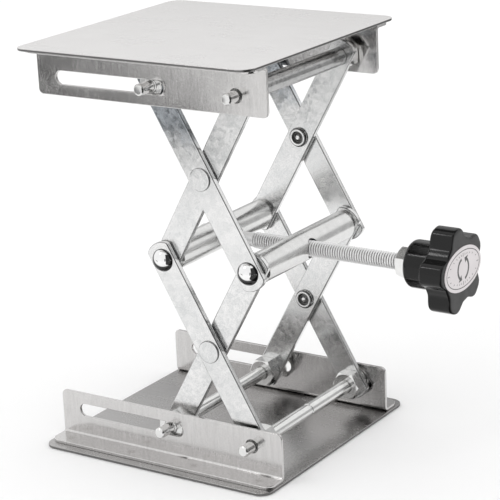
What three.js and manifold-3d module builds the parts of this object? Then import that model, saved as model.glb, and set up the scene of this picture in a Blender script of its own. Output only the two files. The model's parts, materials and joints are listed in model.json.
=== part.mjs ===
// A small scissor lab jack: two square plates joined by eight flat arms, with a lead screw
// and a star knob. Millimetres, +Z up, origin on the table under the middle of the base.
// +X points towards the knob, the front is -Y. The jack is drawn raised.

import * as THREE from "three";
import { mergeVertices } from "three/addons/utils/BufferGeometryUtils.js";
import Module from "manifold-3d";

const wasm = await Module();
wasm.setup();

// ---------- driving dimensions ----------

const PLATE_SIDE = 100;
const PLATE_THICKNESS = 1;
const PLATE_CORNER = 5;

const ARM_LENGTH = 73.7; // pivot to pivot
const ARM_WIDTH = 10;
const ARM_THICKNESS = 2.2;
const ARM_TIP = 6.6; // from an end hole's centre to the arm's tip
const ARM_END_R = 7.5; // of the shallow arc that ends an arm
const PIVOT_INSET = 12.3; // pivots above the table, and below the load face
const RAISED_SPREAD = 36.5; // between the slide rods and the fixed rods, along X, as drawn
const FIXED_X = 36.4; // the fixed rods and the threaded bar stand at this X

const RAIL_LENGTH = 98.4;
const RAIL_HEIGHT = 18;
const RAIL_SHEET = 1.2;
const RAIL_FACE_Y = 37.6; // outer face of a rail's upright
const FOOT_EDGE_Y = 46.5; // free edge of a rail's foot
const BEND_OUTER_R = 2;
const RAIL_CORNER = 2; // of the upright
const FOOT_CORNER = 4;
const RAIL_SEAT = 0.02; // between a plate and the foot spot-welded to it
const SLOT_HEIGHT = 5;
const SLOT_FROM_X = -41;
const SLOT_TO_X = 6.5;
const ROD_HOLE_R = 2.6; // in the rails, for the fixed rods' reduced ends

const OUTER_ARM_FACE_Y = 35; // outer face of the outer arms
const ARM_GAP = 0.3; // between the outer and inner arms
const PIN_R = 2.5;
const PIN_HOLE_R = 2.6;

const ROD_END_R = 2.1;
const ROD_SHOULDER_Y = 36.2;
const ROD_TIP_Y = 43.6;
const NUT_ACROSS_FLATS = 10;
const NUT_THICKNESS = 5;
const THIN_NUT_THICKNESS = 3.3;
const WASHER_R = 4.7;
const WASHER_THICKNESS = 1;
const TUBE_R = 3.4;

const BAR_R = 5.5;
const BAR_CHAMFER = 1.2;
const PIN_HEAD_R = 4.25;
const PIN_HEAD_HEIGHT = 3;
const PIN_DEPTH = 8; // into a bar's end
const SOCKET_DEPTH = 8.5; // the hole for it
const RIVET_FLANGE_R = 4.2;
const RIVET_FLANGE_HEIGHT = 0.6;
const RIVET_HEAD_R = 3.6;
const RIVET_HEAD_HEIGHT = 1.8;
const RIVET_HEAD_TOP_R = 2.4;

const SCREW_R = 3;
const SCREW_HOLE_R = 3.12;
const SHANK_R = 2.6; // the plain length beside the left bar
const SHANK_TO_X = 16.2;
const SHANK_SHOULDER = 0.5; // length of the cone up to the thread
const JOURNAL_R = 2.2;
const JOURNAL_HOLE_R = 2.3;
const COLLAR_R = 4.5;
const COLLAR_LENGTH = 3.4;
const CLIP_R = 3.2;
const CLIP_THICKNESS = 0.9;
const RIVETED_END = 1; // of the screw, past the retaining washer
const LOCK_NUT_X = 78;
const LOCK_NUT_LENGTH = 4.2;
const LOCK_NUT_ACROSS_FLATS = 10;

const KNOB_HUB_X = 82.4;
const KNOB_HUB_R = 8.6;
const KNOB_HUB_ROUNDING = 2;
const KNOB_BEVEL = 1.1;
const KNOB_STAR_X = 93;
const KNOB_FRONT_X = 102;
const KNOB_LOBES = 5;
const KNOB_TIP_R = 15.6;
const KNOB_VALLEY_R = 11.9;
const KNOB_FIRST_LOBE = -12; // degrees from +Z towards +Y
const INSERT_R = 4.6;
const INSERT_LENGTH = 11;
const INSERT_BACK = 0.3; // room behind the insert
const LABEL_HALF_WIDTH = 13.4;
const LABEL_HALF_HEIGHT = 7.9;
const LABEL_UP = 0.9; // from the knob's middle to the label's
const LABEL_THICKNESS = 0.25;

const CLEAR = 0.1; // between pieces that stand face to face
const FIT = 0.06; // around a pin or a screw, for pieces that turn with it
const ROUND = 20; // sides of a full circle
const HIDDEN_ROUND = 16; // the same, for holes that a pin fills
const SIDES = [
  ["front", -1],
  ["back", 1],
];

// ---------- worked-out dimensions ----------

const RISE = Math.sqrt(ARM_LENGTH ** 2 - RAISED_SPREAD ** 2);
const SLIDE_X = FIXED_X - RAISED_SPREAD;
const BASE_PIVOT_Z = PIVOT_INSET;
const MIDDLE_Z = BASE_PIVOT_Z + RISE;
const TOP_PIVOT_Z = MIDDLE_Z + RISE;
const HEIGHT = TOP_PIVOT_Z + PIVOT_INSET;
const ARM_ANGLE = Math.atan2(RISE, RAISED_SPREAD);
const CROSS_X = (FIXED_X + SLIDE_X) / 2;

const OUTER_ARM_Y = OUTER_ARM_FACE_Y - ARM_THICKNESS / 2;
const INNER_ARM_Y = OUTER_ARM_Y - ARM_THICKNESS - ARM_GAP;
const OUTER_ARM_BACK_Y = OUTER_ARM_Y - ARM_THICKNESS / 2;
const INNER_ARM_FACE_Y = INNER_ARM_Y + ARM_THICKNESS / 2;
const INNER_ARM_BACK_Y = INNER_ARM_Y - ARM_THICKNESS / 2;
const BAR_END_Y = INNER_ARM_BACK_Y - CLEAR;

// ---------- materials ----------

function metal(color, roughness) {
  return new THREE.MeshStandardMaterial({ color, roughness, metalness: 1 });
}

const PLATE_STEEL = metal(0xd6d4d0, 0.38);
const RAIL_STEEL = metal(0xb9b6b2, 0.3);
const ZINC = metal(0xcfd2d0, 0.42);
const BRIGHT_STEEL = metal(0xd9d9d6, 0.16);
const CHROME = metal(0xe4e4e4, 0.06);
const BRASS = metal(0xc9a85a, 0.3);
const BLACK_PHENOLIC = new THREE.MeshStandardMaterial({
  color: 0x0d0d0e,
  roughness: 0.18,
  metalness: 0,
});
const WHITE_PAPER = new THREE.MeshStandardMaterial({
  color: 0xe9e6e6,
  roughness: 0.5,
  metalness: 0,
});

// ---------- solids ----------

function solid(geometry) {
  const plain = geometry.index ? geometry.toNonIndexed() : geometry.clone();
  plain.deleteAttribute("normal");
  plain.deleteAttribute("uv");
  const merged = mergeVertices(plain, 1e-4);
  return new wasm.Manifold(
    new wasm.Mesh({
      numProp: 3,
      vertProperties: merged.attributes.position.array,
      triVerts: new Uint32Array(merged.index.array),
    }),
  );
}

function geometryOf(body) {
  const { vertProperties, triVerts } = body.getMesh();
  const geometry = new THREE.BufferGeometry();
  geometry.setAttribute("position", new THREE.BufferAttribute(vertProperties, 3));
  geometry.setIndex(new THREE.BufferAttribute(triVerts, 1));
  return geometry;
}

function joined(first, ...others) {
  return geometryOf(others.reduce((body, g) => body.add(solid(g)), solid(first)));
}

function cut(first, ...tools) {
  return geometryOf(tools.reduce((body, g) => body.subtract(solid(g)), solid(first)));
}

function common(first, ...others) {
  return geometryOf(others.reduce((body, g) => body.intersect(solid(g)), solid(first)));
}

// ---------- basic forms ----------

function extruded(shape, depth) {
  const options = { depth, bevelEnabled: false };
  return new THREE.ExtrudeGeometry(shape, options).translate(0, 0, -depth / 2);
}

// Points along an arc, both ends included; angles in quarter turns.
function arc(x, y, r, from, to, round = ROUND) {
  const steps = Math.ceil((Math.abs(to - from) * round) / 4);
  const points = [];
  for (let i = 0; i <= steps; i++) {
    const a = ((from + ((to - from) * i) / steps) * Math.PI) / 2;
    points.push(new THREE.Vector2(x + r * Math.cos(a), y + r * Math.sin(a)));
  }
  return points;
}

function point(x, y) {
  return new THREE.Vector2(x, y);
}

// A shape drawn in X and Z, given thickness along Y about Y = 0.
function sheetXZ(shape, thickness) {
  return extruded(shape, thickness).rotateX(Math.PI / 2);
}

// A profile of (radius, height) pairs turned about the Y axis.
function turned(points) {
  const profile = points.map(([r, y]) => new THREE.Vector2(r, y));
  return new THREE.LatheGeometry(profile, ROUND);
}

function circleHole(x, y, r, round = ROUND) {
  return new THREE.Path(arc(x, y, r, 0, 4, round).slice(1));
}

function roundedRectangle(width, height, r) {
  const [w, h] = [width / 2 - r, height / 2 - r];
  return new THREE.Shape([
    ...arc(w, h, r, 0, 1),
    ...arc(-w, h, r, 1, 2),
    ...arc(-w, -h, r, 2, 3),
    ...arc(w, -h, r, 3, 4),
  ]);
}

// A slot along the drawn X, from one end's centre to the other's.
function slotHole(x1, x2, y, r) {
  return new THREE.Path([...arc(x2, y, r, -1, 1), ...arc(x1, y, r, 1, 3)]);
}

// ---------- pieces ----------

function plate() {
  return extruded(roundedRectangle(PLATE_SIDE, PLATE_SIDE, PLATE_CORNER), PLATE_THICKNESS);
}

// An L-shaped rail in the base's frame, its foot on the plate and pointing outwards.
// side is -1 for the front rail and 1 for the back one.
function rail(side) {
  const innerFace = RAIL_FACE_Y - RAIL_SHEET;
  const bendCentre = innerFace + BEND_OUTER_R;
  const profile = new THREE.Shape([
    point(innerFace, RAIL_HEIGHT),
    ...arc(bendCentre, BEND_OUTER_R, BEND_OUTER_R, 2, 3),
    point(FOOT_EDGE_Y, 0),
    point(FOOT_EDGE_Y, RAIL_SHEET),
    ...arc(bendCentre, BEND_OUTER_R, BEND_OUTER_R - RAIL_SHEET, 3, 2),
    point(RAIL_FACE_Y, RAIL_HEIGHT),
  ]);
  // (u, v) of the profile become Y and Z, and the extrusion runs along X.
  const bent = extruded(profile, RAIL_LENGTH).rotateX(Math.PI / 2).rotateZ(Math.PI / 2);
  const seated = bent.translate(0, 0, PLATE_THICKNESS);

  const [end, top] = [RAIL_LENGTH / 2, PLATE_THICKNESS + RAIL_HEIGHT];
  const upright = new THREE.Shape([
    point(-end, 0),
    point(end, 0),
    ...arc(end - RAIL_CORNER, top - RAIL_CORNER, RAIL_CORNER, 0, 1),
    ...arc(RAIL_CORNER - end, top - RAIL_CORNER, RAIL_CORNER, 1, 2),
  ]);
  const slotR = SLOT_HEIGHT / 2;
  upright.holes.push(
    slotHole(SLOT_FROM_X + slotR, SLOT_TO_X - slotR, BASE_PIVOT_Z, slotR),
    circleHole(FIXED_X, BASE_PIVOT_Z, ROD_HOLE_R),
  );
  const outline = sheetXZ(upright, PLATE_SIDE);
  const plan = extruded(roundedRectangle(RAIL_LENGTH, 2 * FOOT_EDGE_Y, FOOT_CORNER), PLATE_SIDE);
  const back = common(seated, outline, plan);
  return side > 0 ? back : mirroredY(back);
}

// The same geometry reflected in Y, with its triangles turned to keep facing out.
function mirroredY(geometry) {
  const mirrored = geometry.clone().scale(1, -1, 1);
  const index = mirrored.index.array;
  for (let i = 0; i < index.length; i += 3) {
    [index[i + 1], index[i + 2]] = [index[i + 2], index[i + 1]];
  }
  return mirrored;
}

// A flat arm along X with gently curved ends and three holes, centred on its middle hole.
function arm() {
  const centre = ARM_LENGTH / 2 + ARM_TIP - ARM_END_R;
  const turn = Math.asin(ARM_WIDTH / 2 / ARM_END_R) / (Math.PI / 2);
  const shape = new THREE.Shape([
    ...arc(centre, 0, ARM_END_R, -turn, turn),
    ...arc(-centre, 0, ARM_END_R, 2 - turn, 2 + turn),
  ]);
  for (const x of [-ARM_LENGTH / 2, 0, ARM_LENGTH / 2]) {
    shape.holes.push(circleHole(x, 0, PIN_HOLE_R, HIDDEN_ROUND));
  }
  return sheetXZ(shape, ARM_THICKNESS);
}

// A rivet along Y: a thin flat head outside (+Y) and a formed head inside.
// Y = 0 is the outer arm's outer face.
function rivet() {
  const innerFace = -(2 * ARM_THICKNESS + ARM_GAP);
  return turned([
    [0, innerFace - RIVET_HEAD_HEIGHT],
    [RIVET_HEAD_TOP_R, innerFace - RIVET_HEAD_HEIGHT],
    [RIVET_HEAD_R, innerFace - RIVET_HEAD_HEIGHT / 2],
    [RIVET_HEAD_R, innerFace - CLEAR],
    [PIN_R, innerFace - CLEAR],
    [PIN_R, CLEAR],
    [RIVET_FLANGE_R, CLEAR],
    [RIVET_FLANGE_R, RIVET_FLANGE_HEIGHT],
    [0, RIVET_FLANGE_HEIGHT],
  ]);
}

// A dome-headed pin along Y. Y = 0 is the outer arm's outer face, the dome is outside (+Y).
function pivotPin() {
  const tip = BAR_END_Y - PIN_DEPTH - OUTER_ARM_FACE_Y;
  const sphereR = (PIN_HEAD_R ** 2 + PIN_HEAD_HEIGHT ** 2) / (2 * PIN_HEAD_HEIGHT);
  const steps = 4;
  const dome = [];
  const edge = Math.asin(PIN_HEAD_R / sphereR);
  for (let i = 0; i <= steps; i++) {
    const a = edge * (1 - i / steps);
    const y = CLEAR + PIN_HEAD_HEIGHT + sphereR * (Math.cos(a) - 1);
    dome.push([i === steps ? 0 : sphereR * Math.sin(a), y]);
  }
  return turned([[0, tip], [PIN_R, tip], [PIN_R, CLEAR], ...dome]);
}

// A hexagon nut along Y, with a corner up.
function nut(acrossFlats, thickness, holeR) {
  const cornerR = acrossFlats / Math.sqrt(3);
  const hexagon = new THREE.CylinderGeometry(cornerR, cornerR, thickness, 6);
  const bore = new THREE.CylinderGeometry(holeR, holeR, 2 * thickness, ROUND);
  return cut(hexagon, bore);
}

function ring(outerR, holeR, length) {
  const half = length / 2;
  return turned([
    [holeR, -half],
    [outerR, -half],
    [outerR, half],
    [holeR, half],
    [holeR, -half],
  ]);
}

// A rod across the jack, with reduced ends that pass through the rails.
function crossRod() {
  return turned([
    [0, -ROD_TIP_Y],
    [ROD_END_R, -ROD_TIP_Y],
    [ROD_END_R, -ROD_SHOULDER_Y],
    [PIN_R, -ROD_SHOULDER_Y],
    [PIN_R, ROD_SHOULDER_Y],
    [ROD_END_R, ROD_SHOULDER_Y],
    [ROD_END_R, ROD_TIP_Y],
    [0, ROD_TIP_Y],
  ]);
}

// A round bar along Y between the inner arms, with a cross hole along X for the screw
// and a blind hole in each end for its pins.
function bar(crossHoleR) {
  const body = turned([
    [0, -BAR_END_Y],
    [BAR_R - BAR_CHAMFER, -BAR_END_Y],
    [BAR_R, BAR_CHAMFER - BAR_END_Y],
    [BAR_R, BAR_END_Y - BAR_CHAMFER],
    [BAR_R - BAR_CHAMFER, BAR_END_Y],
    [0, BAR_END_Y],
  ]);
  const cross = new THREE.CylinderGeometry(crossHoleR, crossHoleR, 4 * BAR_R, ROUND);
  cross.rotateZ(Math.PI / 2);
  const across = 2 * SOCKET_DEPTH;
  const socket = new THREE.CylinderGeometry(PIN_HOLE_R, PIN_HOLE_R, across, HIDDEN_ROUND);
  const sockets = SIDES.map(([, side]) => socket.clone().translate(0, side * BAR_END_Y, 0));
  return cut(body, cross, ...sockets);
}

// Turned pieces on the screw are drawn along +X: a profile of (radius, x) pairs.
function turnedAlongX(points) {
  return turned(points).rotateZ(-Math.PI / 2);
}

// The lead screw, from its riveted end left of the left bar to its end inside the knob.
function leadScrew() {
  const journalFrom = SLIDE_X - BAR_R - CLIP_THICKNESS - RIVETED_END;
  const journalTo = SLIDE_X + BAR_R + CLEAR;
  const end = KNOB_HUB_X + INSERT_LENGTH - CLEAR;
  return turnedAlongX([
    [0, journalFrom],
    [JOURNAL_R, journalFrom],
    [JOURNAL_R, journalTo],
    [SHANK_R, journalTo],
    [SHANK_R, SHANK_TO_X],
    [SCREW_R, SHANK_TO_X + SHANK_SHOULDER],
    [SCREW_R, end],
    [0, end],
  ]);
}

// The star's outline: a wavy circle, drawn with Y to the right and Z up.
function knobOutline() {
  const middleR = (KNOB_TIP_R + KNOB_VALLEY_R) / 2;
  const swing = (KNOB_TIP_R - KNOB_VALLEY_R) / 2;
  const steps = KNOB_LOBES * 10;
  const first = THREE.MathUtils.degToRad(KNOB_FIRST_LOBE);
  const points = [];
  for (let i = 0; i < steps; i++) {
    const a = (2 * Math.PI * i) / steps;
    // The inner sine broadens the lobes' tips and the valleys between them.
    const r = middleR + swing * Math.sin((Math.PI / 2) * Math.cos(KNOB_LOBES * (a - first)));
    points.push(point(r * Math.sin(a), r * Math.cos(a)));
  }
  return new THREE.Shape(points.reverse());
}

// Turns a form drawn in XY with its depth along Z so that drawn X is Y and drawn Y is Z,
// and its depth runs along +X.
function facingX(geometry) {
  return geometry.rotateX(Math.PI / 2).rotateZ(Math.PI / 2);
}

function knob() {
  const star = new THREE.ExtrudeGeometry(knobOutline(), {
    depth: KNOB_FRONT_X - KNOB_STAR_X - 2 * KNOB_BEVEL,
    bevelThickness: KNOB_BEVEL,
    bevelSize: KNOB_BEVEL,
    bevelOffset: -KNOB_BEVEL,
    bevelSegments: 2,
  });
  facingX(star).translate(KNOB_STAR_X + KNOB_BEVEL, 0, 0);
  const roundingAt = KNOB_HUB_R - KNOB_HUB_ROUNDING;
  const rounding = arc(roundingAt, KNOB_HUB_X + KNOB_HUB_ROUNDING, KNOB_HUB_ROUNDING, -1, 0, 12);
  const inTheStar = (KNOB_STAR_X + KNOB_FRONT_X) / 2;
  const hub = turnedAlongX([
    [0, KNOB_HUB_X],
    ...rounding.map(({ x, y }) => [x, y]),
    [KNOB_HUB_R, inTheStar],
    [0, inTheStar],
  ]);
  const pocketR = INSERT_R + FIT;
  const pocketEnd = KNOB_HUB_X + INSERT_LENGTH + INSERT_BACK;
  const pocket = turnedAlongX([
    [0, KNOB_HUB_X - INSERT_LENGTH],
    [pocketR, KNOB_HUB_X - INSERT_LENGTH],
    [pocketR, pocketEnd],
    [0, pocketEnd],
  ]);
  return cut(joined(star, hub), pocket);
}

function knobInsert() {
  const holeR = SCREW_R + FIT;
  const [from, to] = [KNOB_HUB_X + CLEAR, KNOB_HUB_X + INSERT_LENGTH];
  return turnedAlongX([
    [holeR, from],
    [INSERT_R, from],
    [INSERT_R, to],
    [holeR, to],
    [holeR, from],
  ]);
}

// An oval label, longer across than up.
function label() {
  const disc = extruded(new THREE.Shape(arc(0, 0, 1, 0, 4, 2 * ROUND).slice(1)), LABEL_THICKNESS);
  disc.scale(LABEL_HALF_WIDTH, LABEL_HALF_HEIGHT, 1);
  return facingX(disc).translate(KNOB_FRONT_X + FIT + LABEL_THICKNESS / 2, 0, LABEL_UP);
}

// ---------- assembly ----------

const jack = new THREE.Group();

function place(parent, name, geometry, material, [x, y, z] = [0, 0, 0]) {
  const mesh = new THREE.Mesh(geometry, material);
  mesh.name = name;
  mesh.position.set(x, y, z);
  parent.add(mesh);
  return mesh;
}

// A piece turned about Y, with its outer side at +Y, set at (x, y, z) on one side.
function placeOutward(parent, name, geometry, material, side, [x, y, z]) {
  const mesh = place(parent, name, geometry, material, [x, side * y, z]);
  mesh.rotation.z = side > 0 ? 0 : Math.PI;
  return mesh;
}

// The base, or the top as the base turned over about X.
function addPlatform(prefix, turnedOver) {
  const platform = new THREE.Group();
  platform.rotation.x = turnedOver ? Math.PI : 0;
  platform.position.z = turnedOver ? HEIGHT : 0;
  jack.add(platform);
  place(platform, `${prefix}_plate`, plate(), PLATE_STEEL, [0, 0, PLATE_THICKNESS / 2]);
  for (const [word, side] of SIDES) {
    const own = turnedOver ? -side : side;
    place(platform, `${prefix}_rail_${word}`, rail(own), RAIL_STEEL, [0, 0, RAIL_SEAT]);
  }
}

// Two arms, front and back, crossing at their middle hole. lean is 1 when they rise
// towards the knob and -1 when they rise away from it.
function addArms(prefix, y, z, lean) {
  const pair = new THREE.Group();
  pair.position.set(CROSS_X, 0, z);
  pair.rotation.y = -lean * ARM_ANGLE;
  jack.add(pair);
  for (const [word, side] of SIDES) {
    place(pair, `${prefix}_${word}`, arm(), ZINC, [0, side * y, 0]);
  }
}

function addRivets(prefix, z) {
  for (const [word, side] of SIDES) {
    const at = [CROSS_X, OUTER_ARM_FACE_Y, z];
    placeOutward(jack, `${prefix}_${word}`, rivet(), ZINC, side, at);
  }
}

function addPair(prefix, geometry, material, [x, y, z]) {
  for (const [word, side] of SIDES) {
    place(jack, `${prefix}_${word}`, geometry.clone(), material, [x, side * y, z]);
  }
}

function addBar(prefix, x, crossHoleR) {
  place(jack, `${prefix}_bar`, bar(crossHoleR), BRIGHT_STEEL, [x, 0, MIDDLE_Z]);
  for (const [word, side] of SIDES) {
    const at = [x, OUTER_ARM_FACE_Y, MIDDLE_Z];
    placeOutward(jack, `${prefix}_pin_${word}`, pivotPin(), CHROME, side, at);
  }
}

// What holds the four cross rods: a nut or a tube inside the arms, and a washer or a thin
// nut between the arms and the rails.
function addRodFittings() {
  const flatUp = Math.PI / 6;
  const innerNut = nut(NUT_ACROSS_FLATS, NUT_THICKNESS, PIN_HOLE_R).rotateY(flatUp);
  const thinNut = nut(NUT_ACROSS_FLATS, THIN_NUT_THICKNESS, PIN_HOLE_R);
  const washer = ring(WASHER_R, PIN_HOLE_R, WASHER_THICKNESS);
  const behindOuter = OUTER_ARM_BACK_Y - CLEAR - NUT_THICKNESS / 2;
  const behindInner = INNER_ARM_BACK_Y - CLEAR - NUT_THICKNESS / 2;
  const overOuter = OUTER_ARM_FACE_Y + CLEAR + WASHER_THICKNESS / 2;
  const overInner = INNER_ARM_FACE_Y + 2 * CLEAR + THIN_NUT_THICKNESS / 2;

  addPair("base_pivot_nut", innerNut, BRIGHT_STEEL, [FIXED_X, behindOuter, BASE_PIVOT_Z]);
  addPair("base_pivot_washer", washer, BRIGHT_STEEL, [FIXED_X, overOuter, BASE_PIVOT_Z]);
  addPair("base_slide_nut", innerNut, BRIGHT_STEEL, [SLIDE_X, behindInner, BASE_PIVOT_Z]);
  addPair("base_slide_thin_nut", thinNut, BRIGHT_STEEL, [SLIDE_X, overInner, BASE_PIVOT_Z]);
  addPair("top_pivot_thin_nut", thinNut, BRIGHT_STEEL, [FIXED_X, overInner, TOP_PIVOT_Z]);
  addPair("top_slide_nut", innerNut, BRIGHT_STEEL, [SLIDE_X, behindOuter, TOP_PIVOT_Z]);
  addPair("top_slide_washer", washer, BRIGHT_STEEL, [SLIDE_X, overOuter, TOP_PIVOT_Z]);
  const tube = ring(TUBE_R, PIN_HOLE_R, 2 * (INNER_ARM_BACK_Y - CLEAR));
  place(jack, "top_pivot_tube", tube, BRIGHT_STEEL, [FIXED_X, 0, TOP_PIVOT_Z]);
}

function addRods() {
  const places = {
    base_pivot_rod: [FIXED_X, 0, BASE_PIVOT_Z],
    base_slide_rod: [SLIDE_X, 0, BASE_PIVOT_Z],
    top_pivot_rod: [FIXED_X, 0, TOP_PIVOT_Z],
    top_slide_rod: [SLIDE_X, 0, TOP_PIVOT_Z],
  };
  for (const [name, at] of Object.entries(places)) {
    place(jack, name, crossRod(), BRIGHT_STEEL, at);
  }
}

// The screw and all that turns with it, on an axis along X at mid height.
function addScrew() {
  const drive = new THREE.Group();
  drive.position.z = MIDDLE_Z;
  jack.add(drive);
  place(drive, "lead_screw", leadScrew(), BRIGHT_STEEL);
  const collar = ring(COLLAR_R, SHANK_R + FIT, COLLAR_LENGTH).rotateZ(Math.PI / 2);
  const collarX = SLIDE_X + BAR_R + 3 * CLEAR + COLLAR_LENGTH / 2;
  place(drive, "thrust_collar", collar, BRIGHT_STEEL, [collarX, 0, 0]);
  const clip = ring(CLIP_R, JOURNAL_R + FIT, CLIP_THICKNESS).rotateZ(Math.PI / 2);
  const clipX = SLIDE_X - BAR_R - 2 * CLEAR - CLIP_THICKNESS / 2;
  place(drive, "retaining_washer", clip, BRIGHT_STEEL, [clipX, 0, 0]);
  const lockNut = nut(LOCK_NUT_ACROSS_FLATS, LOCK_NUT_LENGTH, SCREW_R + FIT);
  const lockNutX = LOCK_NUT_X + LOCK_NUT_LENGTH / 2;
  place(drive, "lock_nut", lockNut.rotateZ(Math.PI / 2), BRIGHT_STEEL, [lockNutX, 0, 0]);
  place(drive, "star_knob", knob(), BLACK_PHENOLIC);
  place(drive, "knob_insert", knobInsert(), BRASS);
  place(drive, "knob_label", label(), WHITE_PAPER);
}

addPlatform("base", false);
addPlatform("top", true);
addArms("lower_outer_arm", OUTER_ARM_Y, (BASE_PIVOT_Z + MIDDLE_Z) / 2, -1);
addArms("lower_inner_arm", INNER_ARM_Y, (BASE_PIVOT_Z + MIDDLE_Z) / 2, 1);
addArms("upper_outer_arm", OUTER_ARM_Y, (TOP_PIVOT_Z + MIDDLE_Z) / 2, -1);
addArms("upper_inner_arm", INNER_ARM_Y, (TOP_PIVOT_Z + MIDDLE_Z) / 2, 1);
addRivets("lower_rivet", (BASE_PIVOT_Z + MIDDLE_Z) / 2);
addRivets("upper_rivet", (TOP_PIVOT_Z + MIDDLE_Z) / 2);
addBar("left", SLIDE_X, JOURNAL_HOLE_R);
addBar("right", FIXED_X, SCREW_HOLE_R);
addRods();
addRodFittings();
addScrew();

export default jack;
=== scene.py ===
"""Looks for the scissor lab jack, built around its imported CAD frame.

Every piece is built in millimetres in the frame's axes (+X to the knob, +Y to the back, +Z up), placed by
the boxes of the CAD nodes it stands for, and scaled to metres when it is added.
"""

import json
import math

import bmesh
import bpy
from mathutils import Matrix, Vector


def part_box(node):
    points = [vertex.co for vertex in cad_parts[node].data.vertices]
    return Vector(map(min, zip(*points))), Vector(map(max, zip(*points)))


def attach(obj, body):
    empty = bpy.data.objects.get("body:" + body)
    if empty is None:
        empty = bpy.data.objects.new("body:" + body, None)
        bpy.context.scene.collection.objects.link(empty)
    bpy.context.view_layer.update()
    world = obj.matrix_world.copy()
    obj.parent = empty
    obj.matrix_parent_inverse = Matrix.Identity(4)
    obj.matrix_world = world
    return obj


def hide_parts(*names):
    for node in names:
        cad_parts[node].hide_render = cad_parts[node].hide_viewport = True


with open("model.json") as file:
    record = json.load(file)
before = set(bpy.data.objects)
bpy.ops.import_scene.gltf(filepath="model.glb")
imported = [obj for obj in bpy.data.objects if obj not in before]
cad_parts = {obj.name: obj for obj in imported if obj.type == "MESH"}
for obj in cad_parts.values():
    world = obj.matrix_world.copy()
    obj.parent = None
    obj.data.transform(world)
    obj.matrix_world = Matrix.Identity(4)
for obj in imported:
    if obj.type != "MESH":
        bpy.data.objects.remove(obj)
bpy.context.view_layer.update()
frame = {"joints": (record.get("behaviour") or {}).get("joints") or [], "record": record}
JOINTS = {joint["name"]: joint for joint in frame["joints"]}

# ---------- sizes in millimetres ----------

MM = 0.001
PLATE_CORNER = 5
SHEET_EDGE = 0.22

RAIL_SHEET = 1.2
RAIL_CORNER = 2
FOOT_CORNER = 4
BEND_OUTER_R = 2
BEND_MARKS_X = (8.2, 29.7)
BEND_MARK_WIDTH = 0.9
BEND_MARK_DEPTH = 0.22
WELD_SPACING = 28
WELD_Y = 42.6
WELD_R = 1.7
SLOT_R = 2.5
SLOT_FROM_X, SLOT_TO_X = -41, 6.5
ROD_HOLE_R = 2.6

ARM_WIDTH = 10
ARM_TIP = 6.6
ARM_END_R = 7.5
ARM_CORNER_R = 0.6
ARM_EDGE = 0.36

ROD_END_R = 2.1
ROD_SHOULDER_INSIDE = 0.2  # the shoulder's distance inside the rail's inner face
ROD_CHAMFER = 0.5
ROD_FITTING_BORE_R = 2.55  # the hole through each nut, washer and tube on a rod

BAR_CHAMFER = 1.2
BAR_HOLE_SINK = 3.2
LEFT_BAR_HOLE_R = 2.3
RIGHT_BAR_HOLE_R = 3.12
RIGHT_BAR_SINK_R = 3.7
PIN_DOME_HEIGHT = 3
PIN_NECK_R = 2.5

RIVET_RING_R = 3.7
RIVET_NECK_R = 2.5
RIVET_HEAD_THICKNESS = 0.5
RIVET_END_LENGTH = 1.8

THREAD_PITCH = 1.0
THREAD_DEPTH = 0.61
SHANK_TO_X = 16.2
SHANK_R = 2.6
JOURNAL_R = 2.2
COLLAR_BORE_R = 2.66
RETAINING_WASHER_BORE_R = 2.26
LOCK_NUT_BORE_R = 3.05

KNOB_STAR_X = 93
KNOB_HUB_R = 8.6
KNOB_TIP_R = 15.6
KNOB_VALLEY_R = 11.9
KNOB_LOBES = 5
KNOB_FIRST_LOBE = math.radians(-12)  # from +Z towards +Y
KNOB_EDGE = 0.9
KNOB_INSERT_BORE_R = 3.06

LABEL_EDGE = 0.1
LABEL_PRINT_PROUD = 0.03
LABEL_RING_INSET = 1.2
LABEL_TICKS = 24

SIDES = {"front": -1, "back": 1}


def box(node):
    """The lowest and highest corner of a CAD node, in millimetres."""
    low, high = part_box(node)
    return low / MM, high / MM


def middle(node):
    """The middle of a CAD node's box."""
    low, high = box(node)
    return (low + high) / 2


def joint_point(name):
    """A point on a joint's axis, in millimetres."""
    return Vector(JOINTS[name]["pos_m"]) / MM


# ---------- outlines ----------


def arc(x, y, r, start, stop, per_quarter=12):
    """Points along an arc, both ends included. Angles are in quarter turns."""
    count = max(1, round(abs(stop - start) * per_quarter))
    angles = [math.pi / 2 * (start + (stop - start) * i / count) for i in range(count + 1)]
    return [(x + r * math.cos(a), y + r * math.sin(a)) for a in angles]


def rounded_rectangle(x1, y1, x2, y2, radii):
    """Counter-clockwise, with one radius for each corner: top right, top left, bottom left, bottom right."""
    a, b, c, d = radii
    return [
        *arc(x2 - a, y2 - a, a, 0, 1),
        *arc(x1 + b, y2 - b, b, 1, 2),
        *arc(x1 + c, y1 + c, c, 2, 3),
        *arc(x2 - d, y1 + d, d, 3, 4),
    ]


def slot_outline(x1, x2, y, r):
    """A slot along X with round ends."""
    return [*arc(x2 - r, y, r, -1, 1), *arc(x1 + r, y, r, 1, 3)]


def circle(x, y, r):
    return arc(x, y, r, 0, 4)[1:]


def soft_corner(before, corner, after, radius, steps=4):
    """A short curve in place of a corner between two other points. It uses under half of either side."""
    corner = Vector(corner)
    back, on = Vector(before) - corner, Vector(after) - corner
    first = corner + back * min(0.45, radius / back.length)
    last = corner + on * min(0.45, radius / on.length)
    curve = []
    for k in range(steps + 1):
        t = k / steps
        curve.append(tuple(first * (1 - t) ** 2 + corner * 2 * t * (1 - t) + last * t**2))
    return curve


def rounded(points, radius, closed=False):
    """A profile with each of its corners rounded off."""
    result = []
    count = len(points)
    for i, corner in enumerate(points):
        if not closed and i in (0, count - 1):
            result.append(corner)
        else:
            result += soft_corner(points[i - 1], corner, points[(i + 1) % count], radius)
    return result


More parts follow.
